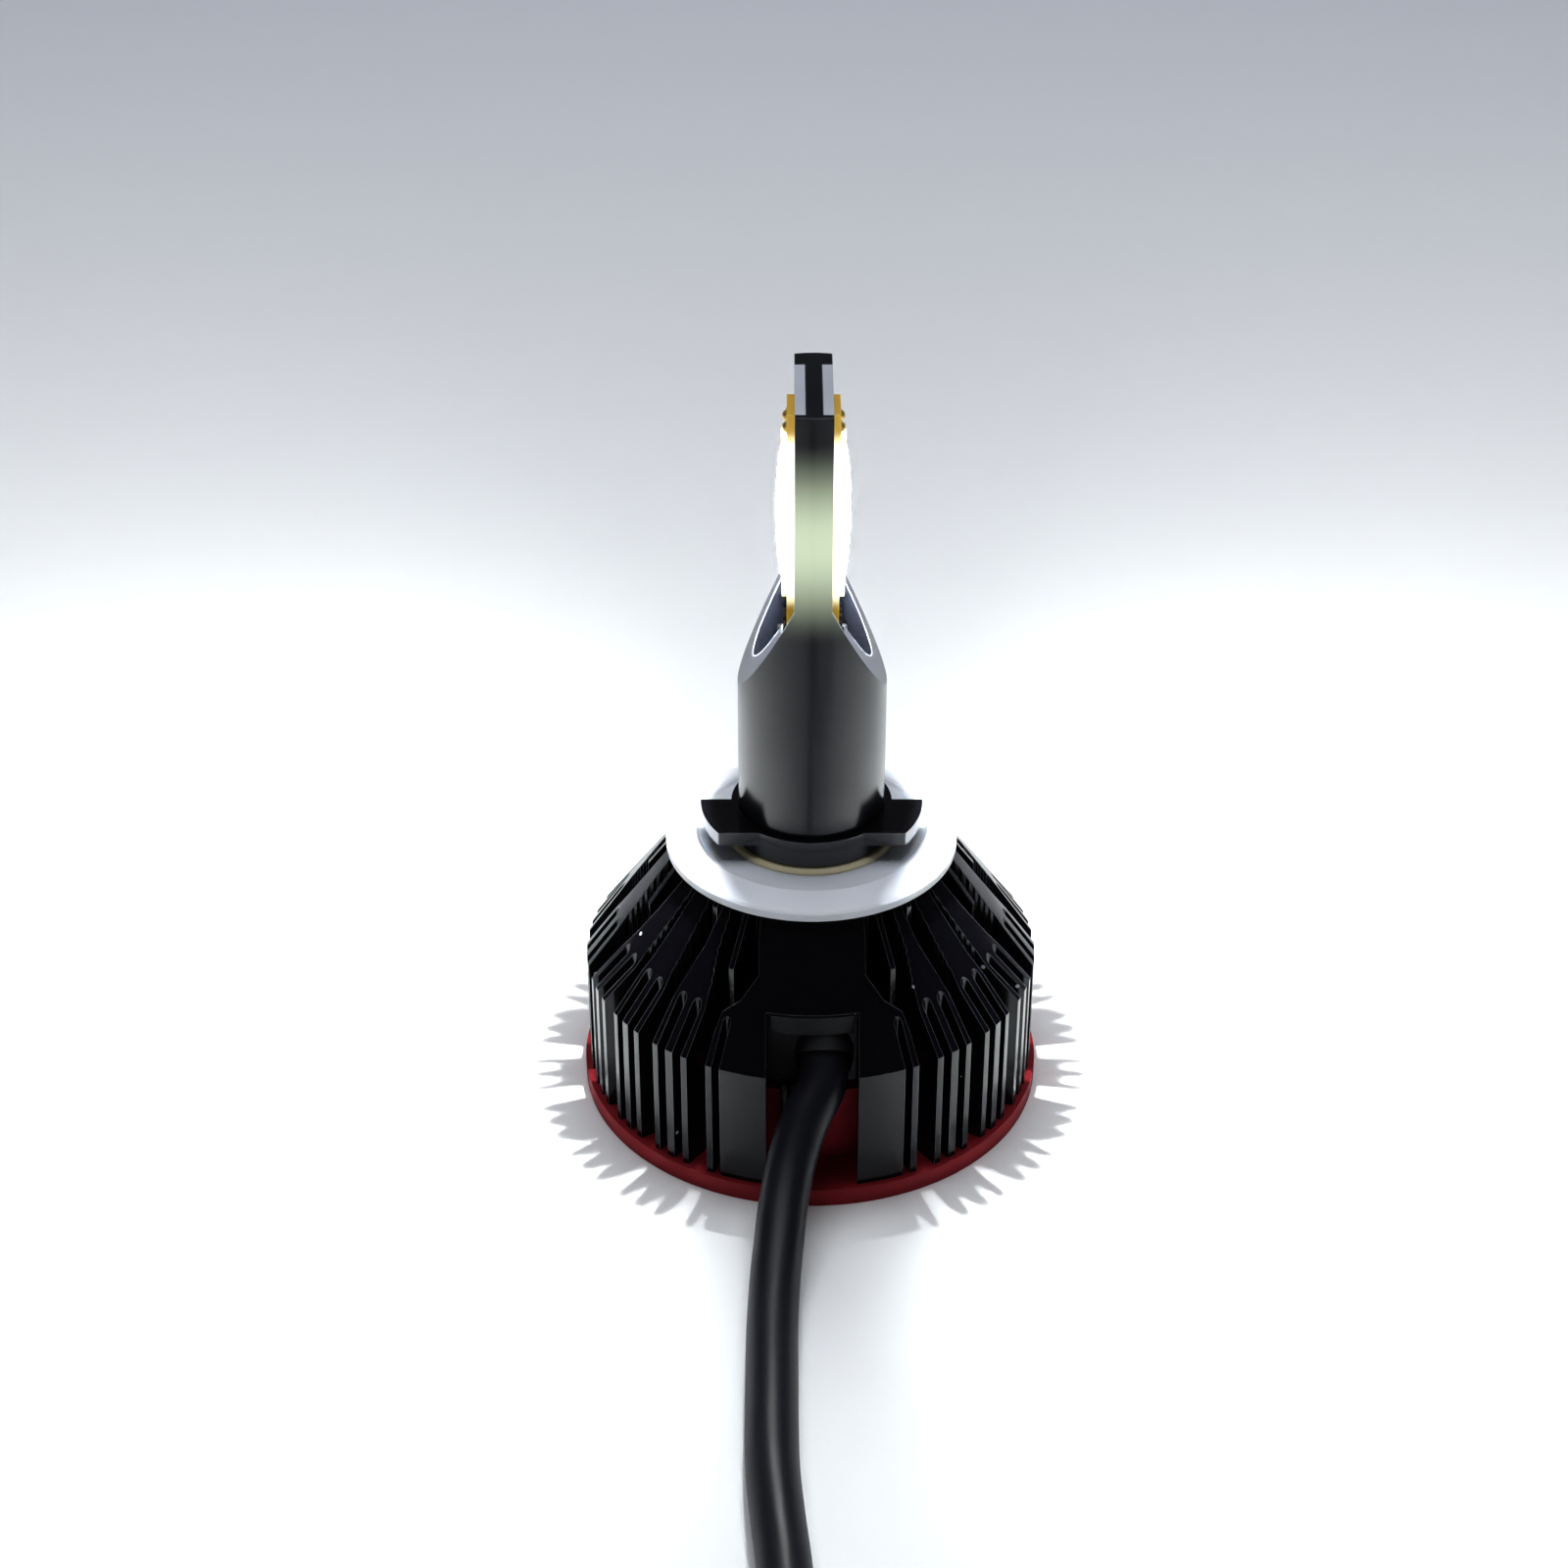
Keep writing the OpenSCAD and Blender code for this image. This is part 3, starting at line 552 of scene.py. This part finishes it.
# %% Plastic and rubber finishes
finishes["frame_red"] = finish(
    "frame_red", (0.27, 0.018, 0.026), 0.58, grain_scale=2600, bump=0.12, mottle=0.10, edge=0.3,
    edge_highlight_colour=(0.46, 0.08, 0.09), shine=0.2,
)
finishes["collar_black"] = finish(
    "collar_black", (0.006, 0.006, 0.008), 0.16, bump=0.02, edge=0.5, edge_highlight_colour=(0.05, 0.05, 0.06), coat=0.9
)
finishes["clamp_black"] = finish("clamp_black", (0.006, 0.006, 0.008), 0.34, bump=0.05, edge=0.4, shine=0.25)
finishes["grommet_black"] = finish("grommet_black", (0.012, 0.012, 0.014), 0.5, bump=0.06)
finishes["fan_black"] = finish("fan_black", (0.014, 0.014, 0.016), 0.4, bump=0.08)
finishes["magnet_dark"] = finish("magnet_dark", (0.05, 0.047, 0.045), 0.7, bump=0.15)
finishes["clip_nylon"] = finish("clip_nylon", (0.70, 0.70, 0.66), 0.42, bump=0.04)
finishes["plug_black"] = finish(
    "plug_black", (0.018, 0.018, 0.022), 0.46, grain_scale=1800, bump=0.14, edge=0.35
)
finishes["red_wire"] = finish("red_wire", (0.42, 0.02, 0.018), 0.38, bump=0.03)
finishes["black_wire"] = finish("black_wire", (0.014, 0.014, 0.015), 0.4, bump=0.03)
finishes["orange_silicone"] = finish("orange_silicone", (0.62, 0.16, 0.03), 0.42, bump=0.03)
finishes["green_board"] = finish("green_board", (0.015, 0.13, 0.045), 0.26, mottle=0.25, bump=0.05, coat=0.5)
finishes["capacitor_sleeve"] = finish("capacitor_sleeve", (0.03, 0.05, 0.13), 0.3, bump=0.02, coat=0.3)
finishes["chip_black"] = finish("chip_black", (0.02, 0.02, 0.021), 0.55, bump=0.1)
print("finishes so far:", len(finishes))

# %% [markdown]
# ## Milky silicone
# Light enters the seal, scatters and comes out near by, so its shade is soft and never
# black. Subsurface scattering with a reach of about two millimetres gives that glow.

# %% Silicone finishes
def make_silicone(name, colour, reach, weight):
    """A soft rubber that light soaks into."""
    made = finish(name, colour, 0.36, grain_scale=1400, bump=0.03, mottle=0.03, edge=0.2, edge_highlight_colour=colour)
    shader = made.node_tree.nodes["Principled BSDF"]
    shader.inputs["Subsurface Weight"].default_value = weight
    shader.inputs["Subsurface Radius"].default_value = (1.0, 0.95, 0.9)
    shader.inputs["Subsurface Scale"].default_value = reach
    return made


finishes["milky_silicone"] = make_silicone("milky_silicone", (0.80, 0.83, 0.90), 2 * MM, 0.55)
finishes["cream_silicone"] = make_silicone("cream_silicone", (0.80, 0.71, 0.48), 1 * MM, 0.3)
print("silicones: milky and cream")

# %% [markdown]
# ## The lit strips
# A lit strip is a row of dies under one dome of phosphor. Its light is far brighter than
# anything near it: white along the middle and yellow where the dome thins out at its foot.
# The height above the board, read on the object's own X, gives that rim.

# %% Glowing phosphor
STRIP_LIGHT = 3000
lamp_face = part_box("led_board_right")[1].x


def make_phosphor():
    made = finish("led_strip", (1.0, 0.86, 0.42), 0.4, bump=0.02, mottle=0.04)
    tree = made.node_tree
    shader = tree.nodes["Principled BSDF"]
    place = node(tree, "ShaderNodeTexCoord")
    parts = node(tree, "ShaderNodeSeparateXYZ")
    out = math_node(tree, "ABSOLUTE", parts.outputs["X"], 0)
    thick = node(tree, "ShaderNodeMapRange")
    thick.inputs["From Min"].default_value = lamp_face + 0.05 * MM
    thick.inputs["From Max"].default_value = lamp_face + 0.35 * MM
    join(tree, (place.outputs["Object"], parts.inputs[0]), (out, thick.inputs["Value"]))
    glow = colour_mix(tree, thick.outputs[0], (0.40, 0.32, 0.10), (0.94, 0.98, 1.0))
    join(tree, (glow, shader.inputs["Emission Color"]))
    shader.inputs["Emission Strength"].default_value = STRIP_LIGHT
    return made


finishes["led_strip"] = make_phosphor()
print("strip light:", STRIP_LIGHT)

# %% [markdown]
# So much light glares over the blade's thin edge, which looks pale green between the strips.
# A weak glow on the stem's own Z does the same. It is strongest halfway up the strips and
# fades out just past their ends.

# %% Glare on the blade
GLARE = 0.62
lit_low, lit_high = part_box("led_strip_right")
lit_middle, lit_reach = (lit_low.z + lit_high.z) / 2, (lit_high.z - lit_low.z) / 2


def height_mask(tree, reach, soft):
    """1 within reach of the strips' middle height, and 0 beyond it by the soft width."""
    place = node(tree, "ShaderNodeTexCoord")
    parts = node(tree, "ShaderNodeSeparateXYZ")
    away = math_node(tree, "ABSOLUTE", math_node(tree, "SUBTRACT", parts.outputs["Z"], lit_middle), 0)
    mask = node(tree, "ShaderNodeMapRange", interpolation_type="SMOOTHSTEP")
    mask.inputs["From Min"].default_value = reach + soft
    mask.inputs["From Max"].default_value = reach - soft
    join(tree, (place.outputs["Object"], parts.inputs[0]), (away, mask.inputs["Value"]))
    return mask.outputs[0]


def add_glare(made):
    tree = made.node_tree
    shader = tree.nodes["Principled BSDF"]
    mask = height_mask(tree, lit_reach * 0.7, lit_reach * 0.65)
    join(tree, (colour_mix(tree, mask, (0, 0, 0), (0.86, 1.0, 0.72)), shader.inputs["Emission Color"]))
    shader.inputs["Emission Strength"].default_value = GLARE


add_glare(finishes["stem_black"])
print("glare on the blade:", GLARE)

# %% [markdown]
# The boards are gilt at both ends. Along the strip their pale mask soaks up light from the
# dome and glows at its edges, so the glow follows the strip's own length.

# %% Lamp boards
LEAK_LIGHT = 2.6


def make_lamp_board():
    made = finish("led_board", (0.78, 0.52, 0.14), 0.34, metal=0.6, bump=0.04, edge=0.4)
    tree = made.node_tree
    shader = tree.nodes["Principled BSDF"]
    mask = height_mask(tree, lit_reach, 1.5 * MM)
    glow = colour_mix(tree, mask, (0.06, 0.035, 0.0), (1.0, 0.97, 0.72))
    join(tree, (glow, shader.inputs["Emission Color"]))
    shader.inputs["Emission Strength"].default_value = LEAK_LIGHT
    return made


finishes["led_board"] = make_lamp_board()
print("lamp boards glow at", LEAK_LIGHT)

# %% [markdown]
# ## The lead's jacket
# The jacket is smooth black plastic with a long highlight. A thin dull stripe runs along it,
# drawn from the two values that the tube kept on its vertices, and broken up so that it
# looks rubbed.

# %% Jacket finish
STRIPE_PLACE, STRIPE_HALF = 0.80, 0.012


def make_jacket():
    made = finish("lead_black", (0.010, 0.010, 0.014), 0.42, grain_scale=1500, bump=0.04, shine=0.2)
    tree = made.node_tree
    shader = tree.nodes["Principled BSDF"]
    around = node(tree, "ShaderNodeAttribute", attribute_name="around")
    along = node(tree, "ShaderNodeAttribute", attribute_name="along")
    beside = math_node(tree, "ABSOLUTE", math_node(tree, "SUBTRACT", around.outputs["Fac"], STRIPE_PLACE), 0)
    line = math_node(tree, "LESS_THAN", beside, STRIPE_HALF)
    rubbed = node(tree, "ShaderNodeTexNoise", noise_dimensions="1D")
    rubbed.inputs["Scale"].default_value = 260
    join(tree, (along.outputs["Fac"], rubbed.inputs["W"]))
    mask = math_node(tree, "MULTIPLY", line, rubbed.outputs["Fac"])
    plain = shader.inputs["Base Color"].links[0].from_socket
    join(tree, (colour_mix(tree, mask, plain, (0.075, 0.075, 0.035)), shader.inputs["Base Color"]))
    return made


finishes["lead_black"] = make_jacket()
lead.data.materials.append(finishes["lead_black"])
print("jacket stripe at", STRIPE_PLACE, "of a turn")

# %% [markdown]
# ## The floor's paper
# The sweep is white where the bulb stands and greyer towards its back, a painted shade.

# %% Floor finish
def make_paper():
    made = finish("paper", (0.90, 0.90, 0.90), 0.75, grain_scale=700, bump=0.02, mottle=0.01, edge=0)
    tree = made.node_tree
    place = node(tree, "ShaderNodeTexCoord")
    parts = node(tree, "ShaderNodeSeparateXYZ")
    # The greying towards the back is painted shade in the paper's colour.
    far = node(tree, "ShaderNodeMapRange", interpolation_type="SMOOTHSTEP")
    far.inputs["From Min"].default_value = 0.04
    far.inputs["From Max"].default_value = 0.42
    join(tree, (place.outputs["Object"], parts.inputs[0]), (parts.outputs["Y"], far.inputs["Value"]))
    shade = colour_mix(tree, far.outputs[0], (0.92, 0.92, 0.92), (0.78, 0.79, 0.85))
    join(tree, (shade, tree.nodes["Principled BSDF"].inputs["Base Color"]))
    return made


sweep.data.materials.append(make_paper())
print("paper on the sweep")

# %% [markdown]
# ## Paint the frame
# The record says which finish each piece takes, so one loop paints them all and none is
# forgotten.

# %% Give each node its finish
def paint(piece, material):
    """Puts one material in every slot of a piece."""
    if not piece.material_slots:
        piece.data.materials.append(material)
    for place in piece.material_slots:
        place.material = material


for part in frame["record"]["subparts"]:
    paint(frame["nodes"][part["node"]], finishes[part["material_slot"]])

# %% [markdown]
# ## Small pieces on the lamp boards
# Close up, each board carries a phosphor dome inside a thin dam, gold pads with solder on
# them and a few tiny resistors. A cube, bevelled, makes the dams, pads and resistors. A
# flattened ball makes each bead of solder, and a stretched one the dome, whose ends taper.

# %% Building blocks
def bevelled_block(bm, low, high, width, segments=3):
    """A block between two corners with rounded edges, added to a bmesh."""
    low, high = Vector(low), Vector(high)
    made = bmesh.ops.create_cube(bm, size=1)["verts"]
    place = Matrix.Translation((low + high) / 2) @ Matrix.Diagonal((*(high - low), 1))
    bmesh.ops.transform(bm, matrix=place, verts=made)
    edges = list({e for v in made for e in v.link_edges})
    bmesh.ops.bevel(
        bm, geom=edges, offset=width, segments=segments, profile=0.5, affect="EDGES", material=-1
    )


def ball(bm, place, size, rings=10):
    """A ball stretched to three half sizes."""
    made = bmesh.ops.create_uvsphere(bm, u_segments=2 * rings, v_segments=rings, radius=1)["verts"]
    shape = Matrix.Translation(place) @ Matrix.Diagonal((*size, 1))
    bmesh.ops.transform(bm, matrix=shape, verts=made)


print("block and bead helpers ready")

# %% Domes, dams, pads and beads
SIDES = (("right", 1), ("left", -1))
DOME_RISE = 0.9 * MM
DOME_SPREAD = 1.04
DAM_WALL = 0.3 * MM


def side_box(bm, side, x0, x1, y0, y1, z0, z1, width):
    """A bevelled block at the same distance out on either side of the blade."""
    low_x, high_x = sorted((side * x0, side * x1))
    bevelled_block(bm, (low_x, y0, z0), (high_x, y1, z1), width)


for word, side in SIDES:
    strip_low, strip_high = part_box(f"led_strip_{word}")
    board_low, board_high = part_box(f"led_board_{word}")
    face = max(abs(board_low.x), abs(board_high.x))
    half = strip_high.y
    z0, z1 = strip_low.z, strip_high.z
    bm = bmesh.new()
    middle = Vector((side * (face - 0.1 * MM), 0, (z0 + z1) / 2))
    ball(bm, middle, (DOME_RISE + 0.1 * MM, half, DOME_SPREAD * (z1 - z0) / 2), rings=40)
    dome = smooth(link(f"phosphor_dome_{word}", bm), 50)
    paint(dome, finishes["led_strip"])
    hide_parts(f"led_strip_{word}")

    bm = bmesh.new()
    edge_y, edge_z = half + DAM_WALL, DAM_WALL
    for y in (-edge_y, half):
        side_box(bm, side, face, face + 0.45 * MM, y, y + DAM_WALL, z0 - edge_z, z1 + edge_z, 0.08 * MM)
    for z in (z0 - edge_z, z1):
        side_box(bm, side, face, face + 0.45 * MM, -half, half, z, z + edge_z, 0.08 * MM)
    paint(link(f"dome_dam_{word}", bm), finishes["cream_silicone"])

    bm = bmesh.new()
    low, high = z1 + 0.8 * MM, z1 + 1.8 * MM
    for y in (-1.15 * MM, 1.15 * MM):
        side_box(bm, side, face, face + 0.06 * MM, y - 0.6 * MM, y + 0.6 * MM, low, high, 0.02 * MM)
        ball(bm, (side * (face + 0.06 * MM), y, (low + high) / 2), (0.34 * MM, 0.46 * MM, 0.46 * MM))
    paint(smooth(link(f"solder_pads_{word}", bm), 40), finishes["gilt"])

    bm = bmesh.new()
    low, high = z0 - 3.9 * MM, z0 - 3.1 * MM
    for y in (-1.2 * MM, 0, 1.2 * MM):
        side_box(bm, side, face, face + 0.3 * MM, y - 0.25 * MM, y + 0.25 * MM, low, high, 0.05 * MM)
    paint(link(f"resistors_{word}", bm), finishes["chip_black"])
print("lamp board pieces:", 4 * len(SIDES))

# %% [markdown]
# ## The plug's grip
# A few ribs stand on each side of the plug's housing, where fingers pull it.

# %% Grip ribs
plug_low, plug_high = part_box("plug_housing")
RIBS = 5
RIB_STEP = 0.9 * MM
RIB_LOW, RIB_HIGH = 2 * MM, 9 * MM
bm = bmesh.new()
for k in range(RIBS):
    y = plug_high.y - 1.2 * MM - k * RIB_STEP
    for x in (plug_low.x + 0.75 * MM, plug_high.x - 0.75 * MM):
        low = (x - 0.18 * MM, y - 0.3 * MM, RIB_LOW)
        high = (x + 0.18 * MM, y + 0.3 * MM, RIB_HIGH)
        bevelled_block(bm, low, high, 0.12 * MM)
ribs = smooth(link("grip_ribs", bm))
paint(ribs, finishes["plug_black"])
print("grip ribs:", 2 * RIBS)
